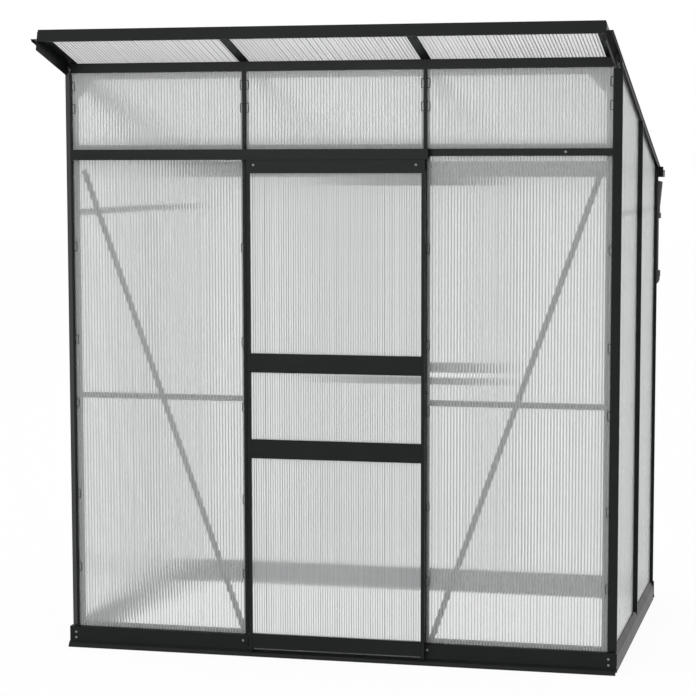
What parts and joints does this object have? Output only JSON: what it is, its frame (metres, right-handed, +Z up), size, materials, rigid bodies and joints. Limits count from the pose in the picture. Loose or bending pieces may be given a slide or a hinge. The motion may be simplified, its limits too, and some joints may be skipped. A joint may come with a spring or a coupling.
{
  "type": "pent greenhouse",
  "caption": "Free-standing greenhouse with a pent roof that overhangs the tall front, twin-wall panes in black bars, and a sliding door on a top track.",
  "frame": {"origin": "on the ground, under the middle of the front sill's foot flange, in line with the middle of the doorway bay", "axes": "+Z up; +X to the right seen from outside the door; +Y from the tall front wall to the low back wall"},
  "size_m": [1.97, 1.6683, 2.1496],
  "materials": {
    "black_aluminium": "satin",
    "twin_wall_sheet": "satin",
    "roller_nylon": "matte",
    "rainwater_plastic": "satin"
  },
  "bodies": {
    "house": {"back_left_bar": "black_aluminium", "back_left_post": "black_aluminium", "back_right_bar": "black_aluminium", "back_right_post": "black_aluminium", "back_sill": "black_aluminium", "back_window_frame": "black_aluminium", "door_track": "black_aluminium", "downpipe": "rainwater_plastic", "downpipe_shoe": "rainwater_plastic", "fascia": "black_aluminium", "front_cross_bar": "black_aluminium", "front_eave": "black_aluminium", "front_left_bar": "black_aluminium", "front_left_post": "black_aluminium", "front_left_rail": "black_aluminium", "front_right_bar": "black_aluminium", "front_right_post": "black_aluminium", "front_right_rail": "black_aluminium", "front_sill": "black_aluminium", "gutter_eave": "black_aluminium", "left_brace": "black_aluminium", "left_gusset": "black_aluminium", "left_rafter": "black_aluminium", "left_roof_bar": "black_aluminium", "left_side_bar": "black_aluminium", "left_side_rail": "black_aluminium", "left_sill": "black_aluminium", "pane_back_left": "twin_wall_sheet", "pane_back_middle": "twin_wall_sheet", "pane_back_right": "twin_wall_sheet", "pane_front_left": "twin_wall_sheet", "pane_front_right": "twin_wall_sheet", "pane_left_back": "twin_wall_sheet", "pane_left_front": "twin_wall_sheet", "pane_right_back": "twin_wall_sheet", "pane_right_front": "twin_wall_sheet", "pane_roof_left": "twin_wall_sheet", "pane_roof_middle": "twin_wall_sheet", "pane_roof_right": "twin_wall_sheet", "pane_top_left": "twin_wall_sheet", "pane_top_middle": "twin_wall_sheet", "pane_top_right": "twin_wall_sheet", "right_brace": "black_aluminium", "right_gusset": "black_aluminium", "right_rafter": "black_aluminium", "right_roof_bar": "black_aluminium", "right_side_bar": "black_aluminium", "right_side_rail": "black_aluminium", "right_sill": "black_aluminium"},
    "door": {"door_bottom_rail": "black_aluminium", "door_head": "black_aluminium", "door_left_stile": "black_aluminium", "door_lower_bar": "black_aluminium", "door_pane_lower": "twin_wall_sheet", "door_pane_middle": "twin_wall_sheet", "door_pane_upper": "twin_wall_sheet", "door_right_stile": "black_aluminium", "door_upper_bar": "black_aluminium"},
    "door_left_roller": {"door_left_roller": "roller_nylon"},
    "door_right_roller": {"door_right_roller": "roller_nylon"}
  },
  "joints": [
    {"name": "door_slide", "type": "slide", "parent": "house", "child": "door", "axis": [-1, 0, 0], "range_m": [0, 0.615]},
    {"name": "left_roller_turn", "type": "hinge", "parent": "door", "child": "door_left_roller", "pos_m": [-0.273, -0.0369, 1.7343], "axis": [0, -1, 0], "range_deg": [0, 3524]},
    {"name": "right_roller_turn", "type": "hinge", "parent": "door", "child": "door_right_roller", "pos_m": [0.291, -0.0369, 1.7343], "axis": [0, -1, 0], "range_deg": [0, 3524]}
  ],
  "couplings": [
    {"joint": "left_roller_turn", "follows": "door_slide", "rad_per_m": 100},
    {"joint": "right_roller_turn", "follows": "door_slide", "rad_per_m": 100}
  ]
}
